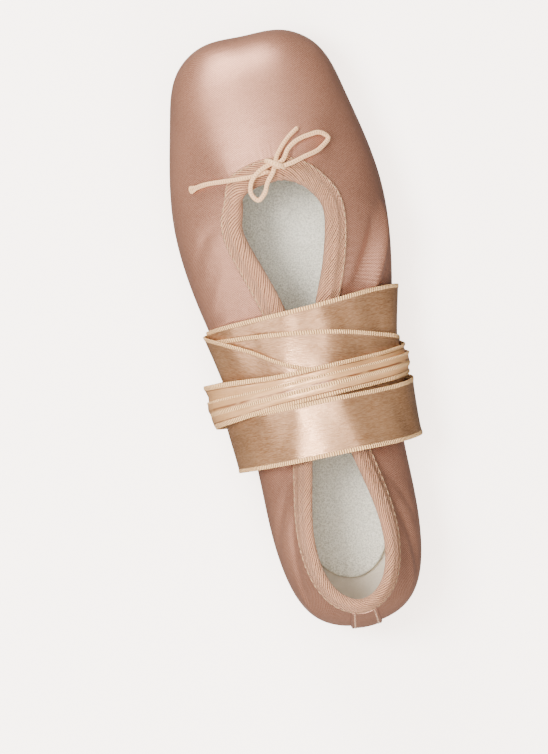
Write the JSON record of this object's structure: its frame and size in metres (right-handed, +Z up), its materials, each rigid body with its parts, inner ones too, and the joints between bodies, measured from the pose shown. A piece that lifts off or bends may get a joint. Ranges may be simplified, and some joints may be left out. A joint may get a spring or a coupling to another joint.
{
  "type": "pointe shoe",
  "caption": "Satin pointe shoe with a stiff flat-ended toe box, stitched leather outsole, bound drawstring throat and ribbons wound round its waist",
  "frame": {"origin": "middle of the shoe's footprint, on the plane that the outsole stands on", "axes": "+Z up, +Y from the toe towards the heel, X across the shoe"},
  "size_m": [0.0845, 0.233, 0.0608],
  "materials": {
    "outsole_leather": "smooth undyed tan leather, matt",
    "insole_felt": "pale grey-green napped lining",
    "satin": "dusty pink satin with a soft sheen",
    "binding_tape": "peach twill tape",
    "drawstring": "cream cotton cord",
    "ribbon_satin": "peach satin ribbon with woven selvedges"
  },
  "bodies": {
    "root": {"outsole": "outsole_leather", "insole": "insole_felt", "upper": "satin", "collar_binding": "binding_tape", "heel_strip": "satin", "drawstring_knot": "drawstring", "drawstring_end_long": "drawstring", "drawstring_end_short": "drawstring", "drawstring_loop_side": "drawstring", "drawstring_loop_back": "drawstring", "ribbon_inner": "ribbon_satin", "ribbon_outer": "ribbon_satin"}
  },
  "joints": []
}
